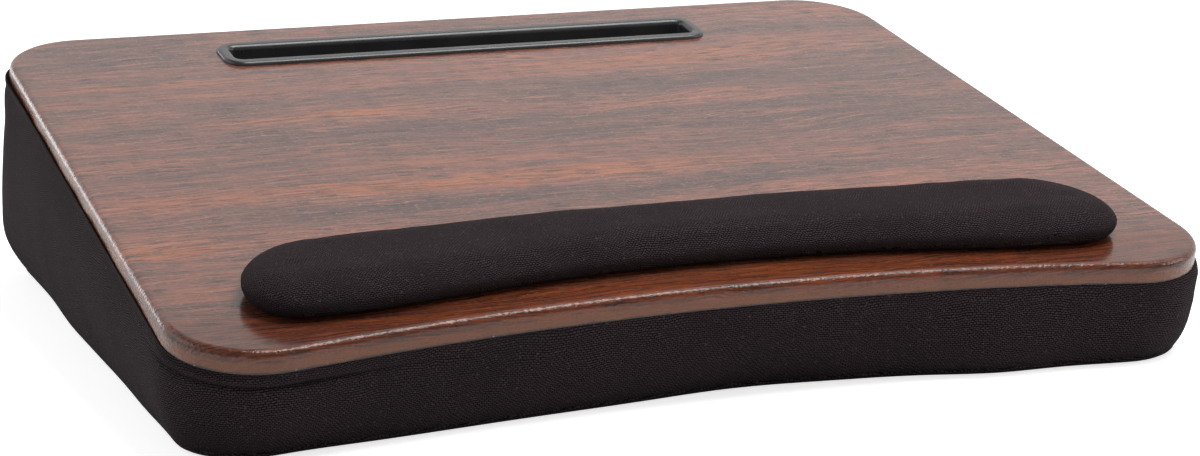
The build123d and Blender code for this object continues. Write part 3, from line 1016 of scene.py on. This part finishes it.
# %% Shape the far edge of the rest
REST_SWELLS = (
    # across, up the slope, reach across, reach up the slope, how far up the slope (mm)
    (-70, 88, 34, 26, 1.3),
    (60, 88, 34, 26, 1.0),
    (0, 84, 26, 26, -0.5),
)
for vertex in rest.data.vertices:
    across, up_slope, out = board_millimetres(vertex.co)
    for middle, line, reach, depth, amount in REST_SWELLS:
        weight = exp(-(((across - middle) / reach) ** 2) - ((up_slope - line) / depth) ** 2)
        vertex.co += board_back * amount * weight * MM
    ripple = noise.noise(vertex.co * 45) * 0.35 + noise.noise(vertex.co * 120) * 0.12
    vertex.co += board_up * ripple * MM * min(max(out / 6, 0), 1)

# %% [markdown]
# The weave needs a map on the pad that doesn't stretch. A tape laid over the skin, from the pad's
# crest down to a point, gives that point's distance from the crest, and on the flat map the point is
# put that far from the middle line. The steep sides then open out almost as a sewer would flatten the
# cover. The tape is laid in eight short steps, each found by a ray from the middle line. The pad's
# cloth is pulled less than the band's, so its stitches lie closer by about a third.

# %% Map of the weave on the rest
TAPE_STEPS = 8
CLOSER = 1.3

skin_tree = mesh_tree(rest)
flat_places = []
for vertex in rest.data.vertices:
    across, up_slope, out = board_millimetres(vertex.co)
    middle = min(max(across, -SPINE_END), SPINE_END)
    line = spine_line(middle)
    core = on_board(middle, line, SPINE_LEVEL)
    sideways = Vector((across - middle, up_slope - line))
    reach = sideways.length
    sideways = sideways / reach if reach > 0.01 else Vector((0, 1))
    down = atan2(reach, out - SPINE_LEVEL)
    aside = Vector((sideways.x, 0, 0)) + board_back * sideways.y
    tape = 0.0
    before = None
    for step in range(TAPE_STEPS + 1):
        lean = down * step / TAPE_STEPS
        touched = skin_tree.ray_cast(core, aside * sin(lean) + board_up * cos(lean))[0]
        if before and touched:
            tape += (touched - before).length
        before = touched or before
    flat_places.append((Vector((middle, line)) * MM + sideways * tape) * CLOSER)
rest_map = rest.data.uv_layers.new(name="weave")
for loop in rest.data.loops:
    rest_map.data[loop.index].uv = flat_places[loop.vertex_index]
crest = max(board_millimetres(vertex.co)[2] for vertex in rest.data.vertices)
apply_modifier(rest, "SUBSURF", levels=1)
for vertex in rest.data.vertices:
    out = board_millimetres(vertex.co)[2]
    if out < REST_LEVEL:
        vertex.co += board_up * (REST_LEVEL - out) * MM
bpy.ops.object.shade_smooth()
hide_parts("wrist_rest_cover")
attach(rest, "root")
print("rest:", len(rest.data.polygons), "faces, crest at", round(crest, 1), "mm")

# %% [markdown]
# Cushion and rest wear the same cloth: a black polyester knit with a bird's-eye surface. Close to, it
# is rows of small raised oval stitches a couple of millimetres wide, half a stitch out of step from row
# to row, with dark gaps between them. The brick texture is exactly such a layout. It is read on the
# cloth's own map, so the rows follow the band round the cushion, and slow noise keeps the rows from
# being ruled lines. Pale lint sits on top here and there.

# %% Bird's-eye knit
knit, tree, shader = new_material("birdseye_polyester_knit")
weave = add_node(tree, "ShaderNodeUVMap")
in_millimetres = add_node(tree, "ShaderNodeVectorMath", operation="SCALE", values={"Scale": 1 / MM},
                          links={0: weave.outputs["UV"]}).outputs["Vector"]
laid_cloth = in_millimetres
for scale, detail, travel in ((0.045, 2.0, 5.0), (0.7, 1.0, 0.45)):
    drift = add_node(tree, "ShaderNodeTexNoise", noise_dimensions="2D",
                     values={"Scale": scale, "Detail": detail}, links={"Vector": in_millimetres})
    drift = add_node(tree, "ShaderNodeVectorMath", operation="SCALE", values={"Scale": travel},
                     links={0: drift.outputs["Color"]})
    laid_cloth = add_node(tree, "ShaderNodeVectorMath", operation="ADD",
                          links={0: laid_cloth, 1: drift.outputs["Vector"]}).outputs["Vector"]
stitches = add_node(
    tree, "ShaderNodeTexBrick", offset=0.5,
    values={
        "Color1": (0.8, 0.8, 0.8, 1), "Color2": (1, 1, 1, 1), "Mortar": (0, 0, 0, 1), "Scale": 1.0,
        "Mortar Size": 0.33, "Mortar Smooth": 0.7, "Brick Width": 2.0, "Row Height": 1.05,
    },
    links={"Vector": laid_cloth},
)
raised = add_node(tree, "ShaderNodeSeparateColor",
                  links={"Color": stitches.outputs["Color"]}).outputs["Red"]
colour = add_node(
    tree, "ShaderNodeMix", data_type="RGBA",
    values={MIX_A: linear("080607"), MIX_B: linear("423639")}, links={0: raised},
).outputs[MIX_RESULT]
for scale, low, high, amount, tone in (
    (0.02, 0.45, 0.75, 0.35, "1e1b1c"),
    (1.3, 0.72, 0.80, 0.5, "6b6463"),
    (0.5, 0.735, 0.78, 0.5, "57504f"),
):
    patch = add_node(tree, "ShaderNodeTexNoise", noise_dimensions="2D",
                     values={"Scale": scale, "Detail": 1.0}, links={"Vector": in_millimetres})
    colour = lay_over(tree, colour, linear(tone), patch.outputs["Fac"], low, high, amount, ease="LINEAR")
tree.links.new(colour, shader.inputs["Base Color"])
shader.inputs["Roughness"].default_value = 0.9
shader.inputs["Specular IOR Level"].default_value = 0.08
threads = add_node(tree, "ShaderNodeTexNoise", noise_dimensions="2D",
                   values={"Scale": 3.2, "Detail": 1.0}, links={"Vector": in_millimetres})
relief = add_node(tree, "ShaderNodeMath", operation="MULTIPLY_ADD", values={1: 0.35},
                  links={0: threads.outputs["Fac"], 2: raised})
bump = add_node(tree, "ShaderNodeBump", values={"Strength": 0.7, "Distance": 0.0003},
                links={"Height": relief.outputs[0]})
tree.links.new(bump.outputs["Normal"], shader.inputs["Normal"])
finish(knit, band, panel, rest)

# %% [markdown]
# The colours are matched to the photograph as they are, so the view transform is the plain one.

# %% View transform
bpy.context.scene.view_settings.view_transform = "Standard"
